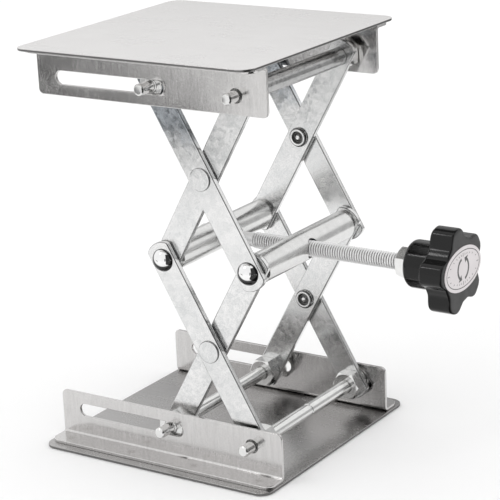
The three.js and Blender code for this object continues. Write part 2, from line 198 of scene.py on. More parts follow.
def eased(points, radius, sharp=math.radians(30)):
    """A closed outline with only its sharp corners rounded off."""
    result = []
    count = len(points)
    for i, corner in enumerate(points):
        before, after = points[i - 1], points[(i + 1) % count]
        back, on = Vector(before) - Vector(corner), Vector(after) - Vector(corner)
        if math.pi - back.angle(on) < sharp:
            result.append(corner)
        else:
            result += soft_corner(before, corner, after, radius)
    return result


# ---------- meshes ----------


def linked(name, data):
    """A new object in the scene, at the origin."""
    obj = bpy.data.objects.new(name, data)
    bpy.context.scene.collection.objects.link(obj)
    return obj


def finished(bm, name):
    """A mesh from a finished bmesh, with its faces pointing out."""
    bmesh.ops.recalc_face_normals(bm, faces=bm.faces)
    mesh = bpy.data.meshes.new(name)
    bm.to_mesh(mesh)
    bm.free()
    return mesh


def loft(rings, segments=48, closed=False):
    """A body about Z through rings of (radius, height). A radius may be a function of the angle."""
    bm = bmesh.new()
    angles = [2 * math.pi * k / segments for k in range(segments)]
    rows = []
    for radius, height in rings:
        if callable(radius):
            row = [bm.verts.new((radius(a) * math.cos(a), radius(a) * math.sin(a), height)) for a in angles]
        elif radius < 1e-6:
            row = [bm.verts.new((0, 0, height))]
        else:
            row = [bm.verts.new((radius * math.cos(a), radius * math.sin(a), height)) for a in angles]
        rows.append(row)
    following = rows[1:] + (rows[:1] if closed else [])
    for low, high in zip(rows, following):
        for k in range(segments):
            lower = [low[k % len(low)], low[(k + 1) % len(low)]]
            upper = [high[(k + 1) % len(high)], high[k % len(high)]]
            bm.faces.new(dict.fromkeys(lower + upper))
    return finished(bm, "loft")


def sheet(outlines, thickness, edge):
    """A flat sheet in XY about Z = 0 with rounded edges: the first outline is its rim, the rest holes."""
    curve = bpy.data.curves.new("outline", "CURVE")
    curve.dimensions = "2D"
    curve.fill_mode = "BOTH"
    curve.extrude = thickness / 2 - edge
    curve.bevel_depth = edge
    curve.bevel_resolution = 2
    curve.offset = -edge
    for points in outlines:
        spline = curve.splines.new("POLY")
        spline.points.add(len(points) - 1)
        for place, (x, y) in zip(spline.points, points):
            place.co = (x, y, 0, 1)
        spline.use_cyclic_u = True
    holder = linked("outline", curve)
    graph = bpy.context.evaluated_depsgraph_get()
    drawn = bpy.data.meshes.new_from_object(holder.evaluated_get(graph))
    bpy.data.objects.remove(holder)
    bm = bmesh.new()
    bm.from_mesh(drawn)
    bmesh.ops.remove_doubles(bm, verts=bm.verts, dist=1e-4)
    return finished(bm, "sheet")


def cut(mesh, tool):
    """mesh with tool taken away from it."""
    body = linked("body", mesh)
    other = linked("tool", tool)
    modifier = body.modifiers.new("cut", "BOOLEAN")
    modifier.object = other
    modifier.operation = "DIFFERENCE"
    modifier.solver = "EXACT"
    graph = bpy.context.evaluated_depsgraph_get()
    result = bpy.data.meshes.new_from_object(body.evaluated_get(graph))
    for obj in (body, other):
        bpy.data.objects.remove(obj)
    return result


def turn_to(axis):
    """The rotation that carries +Z to a direction."""
    return Vector((0, 0, 1)).rotation_difference(Vector(axis)).to_matrix().to_4x4()


ALONG_X = turn_to((1, 0, 0))
ALONG_Y = turn_to((0, 1, 0))


def placed(mesh, rotation, centre):
    """mesh, turned and then moved so that its origin is at centre."""
    mesh.transform(Matrix.Translation(centre) @ rotation)
    return mesh


# ---------- materials ----------

WARM = (1, 0.985, 0.975)
BLUISH = (0.94, 1.0, 1.06)
PLATE_GRAIN = (0.1, 2.0, 1.0)  # long along X
RAIL_GRAIN = (3.0, 3.0, 0.25)  # long along Z


class Shader:
    """A node material under construction. Inputs are given by name, as values or as sockets."""

    def __init__(self, name):
        self.material = bpy.data.materials.new(name)
        self.material.use_nodes = True
        self.tree = self.material.node_tree
        self.surface = self.tree.nodes["Principled BSDF"]
        self.place = self.add("ShaderNodeTexCoord").outputs["Object"]

    def fill(self, node, inputs):
        for key, value in inputs.items():
            if isinstance(value, bpy.types.NodeSocket):
                self.tree.links.new(value, node.inputs[key])
            else:
                node.inputs[key].default_value = value

    def add(self, kind, inputs=None, **settings):
        node = self.tree.nodes.new(kind)
        for key, value in settings.items():
            setattr(node, key, value)
        self.fill(node, inputs or {})
        return node

    def parts(self, vector):
        """The X, Y and Z outputs of a vector."""
        return self.add("ShaderNodeSeparateXYZ", {0: vector}).outputs

    def math(self, operation, *values):
        node = self.add("ShaderNodeMath", dict(enumerate(values)), operation=operation)
        return node.outputs[0]

    def stretched(self, per_mm):
        """Object coordinates with this many pattern units to a millimetre, on every axis or on X, Y, Z."""
        if isinstance(per_mm, float):
            per_mm = (per_mm, per_mm, per_mm)
        scale = [v / MM for v in per_mm]
        node = self.add("ShaderNodeMapping", {"Vector": self.place, "Scale": scale})
        return node.outputs[0]

    def noise(self, per_mm, detail=3.0):
        inputs = {"Vector": self.stretched(per_mm), "Scale": 1.0, "Detail": detail}
        return self.add("ShaderNodeTexNoise", inputs).outputs["Fac"]

    def spread(self, value, low, high, from_low=0.3, from_high=0.7):
        """value, taken from one range to another."""
        inputs = {"Value": value, 1: from_low, 2: from_high, 3: low, 4: high}
        return self.add("ShaderNodeMapRange", inputs).outputs[0]

    def mix(self, share, first, second):
        node = self.add("ShaderNodeMix", data_type="RGBA")
        self.fill(node, {0: share, 6: first, 7: second})
        return node.outputs[2]

    def bump(self, height, distance_mm):
        inputs = {"Height": height, "Distance": distance_mm * MM, "Strength": 1.0}
        return self.add("ShaderNodeBump", inputs).outputs[0]

    def set(self, **inputs):
        names = {key.replace("_", " "): value for key, value in inputs.items()}
        self.fill(self.surface, names)
        return self.material


def rgb(value, tint=(1, 1, 1)):
    """A grey of this linear value, with a tint."""
    return (value * tint[0], value * tint[1], value * tint[2], 1)


def weld_marks(s):
    """1 on the round marks that spot welding leaves along a rail's foot, and 0 elsewhere."""
    x, y, _ = s.parts(s.place)
    repeat = WELD_SPACING * MM
    from_mark = s.math("MODULO", s.math("ADD", x, 10 * repeat), repeat)
    along = s.math("SUBTRACT", from_mark, repeat / 2)
    across = s.math("SUBTRACT", s.math("ABSOLUTE", y), WELD_Y * MM)
    reach = s.math("SQRT", s.math("ADD", s.math("POWER", along, 2.0), s.math("POWER", across, 2.0)))
    ragged = s.spread(s.noise(0.8), -0.3 * MM, 0.3 * MM)
    return s.spread(s.math("ADD", reach, ragged), 1.0, 0.0, (WELD_R - 0.4) * MM, WELD_R * MM)


def sheet_steel(name, value, roughness, grain, contrast, edge_shade_value=None, welded=False):
    """Rolled stainless sheet: fine grain, small specks and a cloudy polish.

    edge_shade_value is the darker grey of its upright edges, painted shade over a duller sheared edge, and
    welded adds the marks of spot welds.
    """
    s = Shader(name)
    fine = s.noise(grain)
    streaks = s.noise([g / 3 for g in grain])
    clouds = s.noise(0.06, 3.0)
    specks = s.noise(1.6, 2.0)
    shade = s.math("ADD", s.spread(streaks, -0.3, 0.3), s.spread(clouds, -0.2, 0.2))
    small = s.math("ADD", s.spread(fine, -0.3, 0.3), s.spread(specks, -0.3, 0.3))
    share = s.math("ADD", s.math("ADD", 0.5, shade), small)
    colour = s.mix(share, rgb(value * (1 - contrast), WARM), rgb(value * (1 + contrast), WARM))
    uneven = s.math("ADD", s.spread(fine, -0.4, 0.4), s.spread(specks, -0.4, 0.4))
    uneven = s.math("MULTIPLY", uneven, contrast)
    rough = s.math("ADD", s.spread(clouds, roughness - 0.03, roughness + 0.05), uneven)
    height = s.math("ADD", fine, s.math("MULTIPLY", streaks, 2.0))
    if welded:
        mark = weld_marks(s)
        colour = s.mix(s.math("MULTIPLY", mark, 0.3), colour, rgb(value * 0.6, (1, 0.95, 0.9)))
        rough = s.math("ADD", rough, s.math("MULTIPLY", mark, 0.08))
    # Painted shade: the upright edges are painted a dark grey, with a little more roughness for the duller
    # sheared edge.
    if edge_shade_value:
        normal = s.add("ShaderNodeNewGeometry").outputs["True Normal"]
        level = s.math("ABSOLUTE", s.parts(normal)[2])
        upright_edge_shade = s.spread(level, 1.0, 0.0, 0.2, 0.45)
        edge = s.mix(s.spread(clouds, 0.0, 1.0), rgb(edge_shade_value * 0.7, WARM), rgb(edge_shade_value, WARM))
        colour = s.mix(upright_edge_shade, colour, edge)
        rough = s.math("ADD", rough, s.math("MULTIPLY", upright_edge_shade, 0.12))
    return s.set(Base_Color=colour, Metallic=1.0, Roughness=rough, Normal=s.bump(height, 0.012 * contrast))


def zinc(name, dark, light, painted_reflection_z=None):
    """Bright zinc plate on a strip that stands across Y: faint crystals, dull clouds and painted shade on
    its rounded edges.

    painted_reflection_z is two heights at rest, in millimetres: plain zinc below the first, and a blue-grey
    painted reflection above the second.
    """
    s = Shader(name)
    inputs = {"Vector": s.stretched(0.7), "Scale": 1.0, "Randomness": 1.0}
    cell = s.add("ShaderNodeTexVoronoi", inputs, feature="F1").outputs["Color"]
    crystal = s.add("ShaderNodeSeparateColor", {0: cell}).outputs[0]
    clouds = s.noise(0.1, 3.0)
    grit = s.noise(2.2, 3.0)
    share = s.math("ADD", s.math("MULTIPLY", crystal, 0.5), s.spread(clouds, 0.0, 0.5))
    share = s.math("ADD", share, s.spread(grit, -0.4, 0.4))
    colour = s.mix(share, rgb(dark, (0.985, 1.0, 1.0)), rgb(light, (1.0, 0.995, 0.99)))
    # Painted reflection: above a height the strip turns a darker blue-grey, as if it mirrored a dark room.
    if painted_reflection_z:
        ragged = s.spread(s.noise(0.25), -3 * MM, 3 * MM)
        z = s.math("ADD", s.parts(s.place)[2], ragged)
        dull = s.mix(share, rgb(dark * 0.45, BLUISH), rgb(light * 0.62, BLUISH))
        colour = s.mix(s.spread(z, 0.0, 1.0, painted_reflection_z[0] * MM, painted_reflection_z[1] * MM), colour, dull)
    # Painted shade: the rounded edges between the strip's faces and its sides are darkened nearly to black.
    normal = s.add("ShaderNodeNewGeometry").outputs["True Normal"]
    across = s.math("ABSOLUTE", s.parts(normal)[1])
    rounded_edge_shade = s.math("MULTIPLY", s.spread(across, 0.0, 1.0, 0.2, 0.3), s.spread(across, 1.0, 0.0, 0.94, 0.97))
    colour = s.mix(s.math("MULTIPLY", rounded_edge_shade, s.spread(grit, 0.7, 1.0)), colour, rgb(0.1))
    rough = s.math("ADD", s.spread(clouds, 0.13, 0.19), s.math("MULTIPLY", crystal, 0.07))
    height = s.math("ADD", grit, s.math("MULTIPLY", crystal, 0.3))
    return s.set(Base_Color=colour, Metallic=1.0, Roughness=rough, Normal=s.bump(height, 0.005))


def bright_metal(name, value, roughness, tint=(1, 1, 0.99)):
    """Turned and plated metal: fine turning marks, with a few dull spots."""
    s = Shader(name)
    marks = s.noise(5.0, 4.0)
    spots = s.noise(0.35, 3.0)
    colour = s.mix(s.spread(spots, 0.0, 1.0), rgb(value * 0.9, tint), rgb(value, tint))
    rough = s.math("ADD", s.spread(spots, roughness, roughness + 0.07), s.spread(marks, 0.0, 0.04))
    return s.set(Base_Color=colour, Metallic=1.0, Roughness=rough, Normal=s.bump(marks, 0.002))


def thread_steel(name):
    """A plated screw thread: bright crests, and painted shade in the roots, tinted pink as a painted
    reflection.
    """
    s = Shader(name)
    low, high = box("lead_screw")
    crest_r = (high.z - low.z) / 2 * MM
    _, y, z = s.parts(s.place)
    up = s.math("SUBTRACT", z, (low.z + high.z) / 2 * MM)
    reach = s.math("SQRT", s.math("ADD", s.math("MULTIPLY", y, y), s.math("MULTIPLY", up, up)))
    # Painted shade: below the crests the thread's roots are painted dark, with a pinkish painted reflection.
    outside_painted_dark = s.spread(reach, 0.0, 1.0, crest_r - 0.54 * MM, crest_r - 0.36 * MM)
    thread_mottle = s.noise(0.5, 3.0)
    painted_root_shade = s.mix(s.spread(thread_mottle, 0.0, 1.0), rgb(0.05, (1, 0.9, 0.88)), rgb(0.24, (1, 0.94, 0.93)))
    crest = s.mix(s.spread(thread_mottle, 0.0, 1.0), rgb(0.92), rgb(0.99))
    rough = s.spread(outside_painted_dark, 0.45, 0.25, 0.0, 1.0)
    colour = s.mix(outside_painted_dark, painted_root_shade, crest)
    return s.set(Base_Color=colour, Metallic=0.4, Roughness=rough, Normal=s.bump(thread_mottle, 0.01))


def dome_chrome(name):
    """Mirror chrome, painted dark towards its outline as a painted reflection, most of all low on the knob's
    side.

    Painted shade sits in the corner where a dome meets the arm.
    """
    s = Shader(name)
    # Painted reflection: the colour goes dark towards the dome's outline, more so low on the knob's side.
    glancing = s.add("ShaderNodeLayerWeight", {"Blend": 0.5}).outputs["Facing"]
    facing = s.parts(s.add("ShaderNodeNewGeometry").outputs["Normal"])
    low_side = s.math("MULTIPLY", s.math("SUBTRACT", facing[0], facing[2]), 0.22)
    outside_painted_reflection = s.spread(s.math("ADD", glancing, low_side), 1.0, 0.0, 0.34, 0.42)
    haze = s.noise(0.5, 3.0)
    # Painted shade: a dark band on the dome just above the arm's face.
    arm_y = box("lower_outer_arm_back")[1].y * MM
    y = s.parts(s.place)[1]
    ragged = s.spread(s.noise(1.2), -0.12 * MM, 0.12 * MM)
    height = s.math("ADD", s.math("ABSOLUTE", y), ragged)
    outside_painted_dark = s.math("MULTIPLY", s.spread(height, 0.0, 1.0, arm_y + 0.45 * MM, arm_y + 0.85 * MM), outside_painted_reflection)
    plate = s.mix(s.spread(haze, 0, 1), rgb(0.86), rgb(0.93))
    return s.set(
        Base_Color=s.mix(outside_painted_dark, rgb(0.05), plate),
        Metallic=1.0,
        Roughness=s.spread(haze, 0.03, 0.08),
        Normal=s.bump(haze, 0.004),
    )


def phenolic(name):
    """Black moulded phenolic: glossy on the grip, satin on the front face, with moulding flow marks."""
    s = Shader(name)
    front_x = box("star_knob")[1].x * MM
    x = s.parts(s.place)[0]
    face = s.spread(x, 0.0, 1.0, front_x - 0.35 * MM, front_x - 0.1 * MM)
    flow = s.noise(0.3, 3.0)
    grain = s.noise(6.0, 2.0)
    gloss = s.spread(flow, 0.07, 0.14)
    satin = s.spread(flow, 0.36, 0.46)
    dull = s.math("MULTIPLY", satin, face)
    shiny = s.math("MULTIPLY", gloss, s.math("SUBTRACT", 1.0, face))
    return s.set(
        Base_Color=s.mix(face, rgb(0.005), rgb(0.034)),
        Metallic=0.0,
        Roughness=s.math("ADD", dull, shiny),
        Specular_IOR_Level=0.32,
        Normal=s.bump(s.math("ADD", grain, s.math("MULTIPLY", flow, 4.0)), 0.006),
    )


def paper(name, colour, darker):
    """Satin printed paper, with fibres and a faint uneven wash."""
    s = Shader(name)
    fibres = s.noise(2.0, 4.0)
    wash = s.noise(0.1, 2.0)
    share = s.math("ADD", s.math("MULTIPLY", fibres, 0.4), s.spread(wash, 0.0, 0.6))
    return s.set(Base_Color=s.mix(share, darker, colour), Roughness=0.42, Normal=s.bump(fibres, 0.01))


def painted_bore_shade(name):
    """The inside of a drilled hole, painted nearly black as painted shade."""
    s = Shader(name)
    bore_mottle = s.noise(1.0, 3.0)
    return s.set(Base_Color=s.mix(bore_mottle, rgb(0.02), rgb(0.08)), Roughness=0.4, Normal=s.bump(bore_mottle, 0.02))


MATERIALS = {
    "plate_steel": sheet_steel("satin_plate", 0.78, 0.24, PLATE_GRAIN, 0.025, edge_shade_value=0.2),
    # Painted shade: the base plate's grey is darker than the top plate's, for the shade under the jack.
    "base_plate_steel": sheet_steel("darker_plate_painted_shade", 0.48, 0.25, PLATE_GRAIN, 0.04, edge_shade_value=0.2),
    "rail_steel": sheet_steel("polished_rail", 0.645, 0.14, RAIL_GRAIN, 0.085, welded=True),
    "zinc_plate": zinc("zinc", 0.65, 0.86),
    # Painted shade: a darker copy of the zinc, for the tube in the shade under the top plate.
    "zinc_in_painted_shade": zinc("zinc_in_painted_shade", 0.3, 0.5),
    # Painted reflection: blue-grey darkening high on the upper outer arms.
    "zinc_painted_reflection": zinc("zinc_painted_reflection", 0.65, 0.86, painted_reflection_z=(117, 127)),
    "bright_steel": bright_metal("bright_steel", 0.84, 0.1),
    "thread_steel": thread_steel("thread_steel"),
    "chrome_plate": dome_chrome("dome_chrome"),
    "brass": bright_metal("brass", 0.78, 0.16, (1.0, 0.8, 0.42)),
    "black_phenolic": phenolic("phenolic"),
    "white_label": paper("label_paper", rgb(0.68, (1, 0.955, 0.965)), rgb(0.6, (1, 0.945, 0.955))),
    "label_ink": paper("label_ink", rgb(0.09), rgb(0.05)),
    "bar_chrome": bright_metal("bar_chrome", 0.8, 0.17),
    # Painted shade: a near black for the bars' cross holes.
    "painted_bore_shade": painted_bore_shade("painted_bore_shade"),
    # Painted shade: a dark steel for the rivets' ring grooves.
    "groove_shade_steel": bright_metal("groove_shade_steel", 0.22, 0.3),
}
SLOTS = {part["node"]: part["material_slot"] for part in frame["record"]["subparts"]}
BODIES = {node: body for body, nodes in frame["record"]["behaviour"]["bodies"].items() for node in nodes}


def repaint(piece, faces, material):
    """Gives some of a piece's faces, by their numbers, a second material."""
    piece.data.materials.append(MATERIALS[material])
    for index in faces:
        piece.data.polygons[index].material_index = 1


def add(node, mesh, name=None, material=None, smooth_angle=40):
    """Adds a finished mesh, in millimetres, as the piece that stands for a CAD node."""
    mesh.transform(Matrix.Scale(MM, 4))
    mesh.shade_smooth()
    mesh.set_sharp_from_angle(angle=math.radians(smooth_angle))
    mesh.materials.clear()
    mesh.materials.append(MATERIALS[material or SLOTS[node]])
    piece = linked(name or f"visual_{node}", mesh)
    normals = piece.modifiers.new("normals", "WEIGHTED_NORMAL")
    normals.keep_sharp = True
    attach(piece, BODIES[node])
    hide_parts(node)
    return piece


# ---------- plates and rails ----------


def bisect(bm, place, normal):
    """New edges where a plane crosses the whole of bm."""
    everything = bm.verts[:] + bm.edges[:] + bm.faces[:]
    bmesh.ops.bisect_plane(bm, geom=everything, plane_co=place, plane_no=normal, dist=1e-5)


def add_plate(node, material):
    """A flat square sheet with rounded corners."""
    low, high = box(node)
    outline = rounded_rectangle(low.x, low.y, high.x, high.y, [PLATE_CORNER] * 4)
    plate = sheet([outline], high.z - low.z, SHEET_EDGE)
    add(node, placed(plate, Matrix.Identity(4), (0, 0, (low.z + high.z) / 2)), material=material)


def add_rail(node, side, up, rod_z):
    """A rail, made flat with its holes cut and then bent, with two tool marks pressed into the bend.

    up is 1 on the base and -1 under the top.
    """
    low, high = box(node)
    inner_y = min(abs(low.y), abs(high.y))
    foot_y = max(abs(low.y), abs(high.y))
    foot_z, edge_z = (low.z, high.z) if up > 0 else (high.z, low.z)
    height = abs(edge_z - foot_z)
    middle_r = BEND_OUTER_R - RAIL_SHEET / 2
    bend_start = height - BEND_OUTER_R
    bend_length = middle_r * math.pi / 2
    length = bend_start + bend_length + foot_y - inner_y - BEND_OUTER_R
    hole_at = abs(edge_z - rod_z)
    pivot_x = middle("base_pivot_rod").x

    corners = [FOOT_CORNER, FOOT_CORNER, RAIL_CORNER, RAIL_CORNER]
    rim = rounded_rectangle(low.x, 0, high.x, length, corners)
    slot = slot_outline(SLOT_FROM_X, SLOT_TO_X, hole_at, SLOT_R)
    flat = sheet([rim, slot, circle(pivot_x, hole_at, ROD_HOLE_R)], RAIL_SHEET, SHEET_EDGE)
    bm = bmesh.new()
    bm.from_mesh(flat)
    steps = 8
    for i in range(steps + 1):
        bisect(bm, (0, bend_start + bend_length * i / steps, 0), (0, 1, 0))
    for mark in BEND_MARKS_X:
        for step in (-0.5, 0, 0.5):
            bisect(bm, (mark + step * BEND_MARK_WIDTH, 0, 0), (1, 0, 0))
    for vertex in bm.verts:
        x, along, out = vertex.co
        turn = min(max(0, along - bend_start), bend_length) / middle_r
        if any(abs(x - mark) < 1e-3 for mark in BEND_MARKS_X):
            out += BEND_MARK_DEPTH * math.sin(2 * turn) if out > 0 else 0
        foot = max(0, along - bend_start - bend_length)
        radius = middle_r - out
        y = inner_y + BEND_OUTER_R - radius * math.cos(turn) + foot
        z = BEND_OUTER_R - radius * math.sin(turn) + max(0, bend_start - along)
        vertex.co = (x, side * y, foot_z + up * z)
    add(node, finished(bm, node))


# ---------- arms and what joins them ----------

ARM_VECTOR = joint_point("left_bar_pivot") - joint_point("lift")
ARM_LENGTH = ARM_VECTOR.length
ARM_ANGLE = math.atan2(ARM_VECTOR.z, -ARM_VECTOR.x)


def add_arm(node, lean, material=None):
    """A flat strip with rounded ends. lean is 1 if it rises towards the knob, and -1 if it rises away."""
    low, high = box(node)
    flat_x = Matrix.Rotation(math.pi / 2, 4, "X")
    centre = ARM_LENGTH / 2 + ARM_TIP - ARM_END_R
    turn = math.asin(ARM_WIDTH / 2 / ARM_END_R) / (math.pi / 2)
    right_end = arc(centre, 0, ARM_END_R, -turn, turn)
    left_end = arc(-centre, 0, ARM_END_R, 2 - turn, 2 + turn)
    strip = sheet([eased(right_end + left_end, ARM_CORNER_R)], high.y - low.y, ARM_EDGE)
    leaning = Matrix.Rotation(-lean * ARM_ANGLE, 4, "Y")
    add(node, placed(strip, leaning @ flat_x, (low + high) / 2), material=material)


def in_groove(face, r_from, r_to, deeper_than):
    """True for a face of a rivet's ring groove, which runs between two radii round Z."""
    reach = math.hypot(face.center.x, face.center.y)
    return r_from < reach < r_to and deeper_than < face.center.z < deeper_than + 1


def add_rivet(node, side):
    """A flush head outside, a ring with a domed middle inside."""
    low, high = box(node)
    outer = max(abs(low.y), abs(high.y))
    inner = min(abs(low.y), abs(high.y))
    head_r = (high.x - low.x) / 2
    head_from = outer - RIVET_HEAD_THICKNESS
    ring_to = inner + RIVET_END_LENGTH - 0.1
    lip = inner + 0.5
    profile = [
        (0, lip + 0.1),
        (0.9, lip + 0.25),
        (1.6, lip + 0.9),
        (1.9, lip + 0.95),
        (2.35, lip),
        (3.1, lip),
        (RIVET_RING_R, lip + 0.45),
        (RIVET_RING_R, ring_to),
        (RIVET_NECK_R, ring_to),
        (RIVET_NECK_R, head_from),
        (head_r, head_from),
        (head_r, outer - 0.15),
        (head_r - 0.25, outer),
        (0, outer),
    ]
    body = loft(rounded(profile, 0.25))
    groove = [face.index for face in body.polygons if in_groove(face, 1.1, 2.3, lip + 0.3)]
    turn = turn_to((0, side, 0))
    piece = add(node, placed(body, turn, (middle(node).x, 0, middle(node).z)))
    # Painted shade: the faces of the ring groove are painted dark grey.
    repaint(piece, groove, "groove_shade_steel")


def add_pin(node, side):
    """A pin with a domed head, which is part of a sphere."""
    low, high = box(node)
    outer = max(abs(low.y), abs(high.y))
    tip = min(abs(low.y), abs(high.y))
    head_r = (high.x - low.x) / 2
    head_from = outer - PIN_DOME_HEIGHT
    sphere_r = (head_r**2 + PIN_DOME_HEIGHT**2) / (2 * PIN_DOME_HEIGHT)
    half_angle = math.asin(head_r / sphere_r)
    dome = []
    steps = 14
    for i in range(steps + 1):
        a = half_angle * (1 - i / steps)
        dome.append((sphere_r * math.sin(a), outer - sphere_r * (1 - math.cos(a))))
    dome[-1] = (0, outer)
    stem = [(0, tip), (PIN_NECK_R, tip), (PIN_NECK_R, head_from), (head_r, head_from), dome[1]]
    neck = rounded(stem, 0.15)
    body = loft([*neck[:-1], *dome[1:]], 64)
    add(node, placed(body, turn_to((0, side, 0)), (middle(node).x, 0, middle(node).z)))


def faces_x_axis(face, within):
    """True for a face of a bore along X, which lies near the axis and faces it."""
    off = Vector((0, face.center.y, face.center.z))
    return 0 < off.length < within * 1.02 and face.normal.dot(off.normalized()) < -0.5


def add_bar(node, hole_r, sink_r):
    """A thick bar across the jack with a cross hole for the screw, sunk a little at both ends."""
    low, high = box(node)
    r = (high.x - low.x) / 2
    end = high.y
    profile = [(0, -end), (r - BAR_CHAMFER, -end), (r, BAR_CHAMFER - end), (r, end - BAR_CHAMFER)]
    profile += [(r - BAR_CHAMFER, end), (0, end)]
    bar = placed(loft(rounded(profile, 0.3), 96), ALONG_Y, (0, 0, 0))
    floor = r - BAR_HOLE_SINK
    tool = [(0, -2 * r), (sink_r, -2 * r), (sink_r, -floor), (hole_r, -floor)]
    tool += [(hole_r, floor), (sink_r, floor), (sink_r, 2 * r), (0, 2 * r)]
    drilled = cut(bar, placed(loft(tool, 64), ALONG_X, (0, 0, 0)))
    bore = [face.index for face in drilled.polygons if faces_x_axis(face, sink_r)]
    bar = placed(drilled, Matrix.Identity(4), middle(node))
    piece = add(node, bar, material="bar_chrome", smooth_angle=30)
    # Painted shade: the faces of the cross hole are painted nearly black.
    repaint(piece, bore, "painted_bore_shade")


# ---------- rods and their fittings ----------


def add_rod(node, grooved):
    """A cross rod with a reduced, chamfered length at both ends, and a shallow groove round the middle."""
    low, high = box(node)
    r = (high.x - low.x) / 2
    tip = high.y
    inner_rail = -box("base_rail_front")[1].y
    shoulder = inner_rail - ROD_SHOULDER_INSIDE
    half = [(ROD_END_R - ROD_CHAMFER, tip), (ROD_END_R, tip - ROD_CHAMFER), (ROD_END_R, shoulder)]
    half += [(r - 0.2, shoulder), (r, shoulder - 0.2)]
    groove = []
    if grooved:
        groove = [(r, 0.9), (r - 0.22, 0.7), (r - 0.22, 0.1), (r, -0.1)]
    profile = [(0, tip), *half, *groove, *[(x, -y) for x, y in reversed(half)], (0, -tip)]
    rod = loft(rounded(profile, 0.12), 48)
    add(node, placed(rod, ALONG_Y, (middle(node).x, 0, middle(node).z)))


def nut_mesh(across, height, hole_r):
    """A hexagon nut about Z with chamfered corners and a countersunk hole. Two flats face X."""
    flat_r = across / 2
    chamfer_r = flat_r * 0.97
    sink = 0.35
    top = height / 2

    def corner_r(a):
        off = (a + math.pi / 6) % (math.pi / 3) - math.pi / 6
        return flat_r / math.cos(off)

    segments = 72
    bm = bmesh.new()
    columns = []
    for k in range(segments):
        a = 2 * math.pi * k / segments
        reach = corner_r(a)
        drop = (reach - chamfer_r) * math.tan(math.radians(30))
        half = [(hole_r, top - sink), (hole_r + sink, top), (chamfer_r, top), (reach, top - drop)]
        loop = half + [(r, -z) for r, z in reversed(half)]
        columns.append([bm.verts.new((r * math.cos(a), r * math.sin(a), z)) for r, z in loop])
    for k in range(segments):
        one, two = columns[k], columns[(k + 1) % segments]
        for i in range(len(one)):
            j = (i + 1) % len(one)
            bm.faces.new((one[i], two[i], two[j], one[j]))
    return finished(bm, "nut")


def add_nut(node):
    """A nut on a rod along Y, its flats turned as the CAD node's are."""
    low, high = box(node)
    size = high - low
    turn = Matrix.Identity(4) if size.x < size.z else Matrix.Rotation(math.pi / 6, 4, "Z")
    mesh = nut_mesh(min(size.x, size.z), size.y, ROD_FITTING_BORE_R)
    add(node, placed(mesh, ALONG_Y @ turn, (low + high) / 2), smooth_angle=25)


def add_ring(node, hole_r, axis, edge, material=None):
    """A washer, collar or tube with rounded edges."""
    low, high = box(node)
    size = high - low
    along = size.x if axis == ALONG_X else size.y
    r = size.z / 2
    profile = [(hole_r, -along / 2), (r, -along / 2), (r, along / 2), (hole_r, along / 2)]
    mesh = loft(rounded(profile, edge, closed=True), 64, closed=True)
    add(node, placed(mesh, axis, (low + high) / 2), material=material)


# ---------- screw and knob ----------


def add_lead_screw():
    """A journal in the left bar, a plain shank, then a real thread that fades in over one turn."""
    low, high = box("lead_screw")
    r = (high.z - low.z) / 2
    journal_end = box("left_bar")[1].x + 0.1
    thread_from = SHANK_TO_X + 0.3
    rings = [(0, low.x), (JOURNAL_R - 0.4, low.x), (JOURNAL_R, low.x + 0.4), (JOURNAL_R, journal_end)]
    rings += [(SHANK_R, journal_end), (SHANK_R, thread_from)]
    per_turn = 10
    count = int((high.x - thread_from) / THREAD_PITCH * per_turn)

    def ridge(x, fade):
        def radius(a):
            phase = (x / THREAD_PITCH - a / (2 * math.pi)) % 1
            flank = 1 - abs(2 * phase - 1)
            depth = THREAD_DEPTH * min(1, max(0, 1.3 * flank - 0.15))
            return r - depth * fade - (r - SHANK_R) * (1 - fade)

        return radius

    for i in range(1, count):
        x = thread_from + i * THREAD_PITCH / per_turn
        rings.append((ridge(x, min(1, i / per_turn)), x))
    rings += [(r - THREAD_DEPTH, high.x), (0, high.x)]
    screw = loft(rings, 40)
    middle_z = middle("lead_screw").z
    add("lead_screw", placed(screw, ALONG_X, (0, 0, middle_z)), material="thread_steel", smooth_angle=60)


def add_lock_nut():
    """The nut on the screw along X, its flats turned as the CAD node's are."""
    low, high = box("lock_nut")
    size = high - low
    turn = Matrix.Identity(4) if size.z < size.y else Matrix.Rotation(math.pi / 6, 4, "Z")
    mesh = nut_mesh(min(size.y, size.z), size.x, LOCK_NUT_BORE_R)
    add("lock_nut", placed(mesh, ALONG_X @ turn, (low + high) / 2), smooth_angle=25)


def star_r(a, inset=0.0):
    """The star knob's outline about the screw. ALONG_X lays angle 0 down and a quarter turn at +Y."""
    from_up = math.pi - a
    swing = math.sin(math.pi / 2 * math.cos(KNOB_LOBES * (from_up - KNOB_FIRST_LOBE)))
    return (KNOB_TIP_R + KNOB_VALLEY_R) / 2 + (KNOB_TIP_R - KNOB_VALLEY_R) / 2 * swing - inset


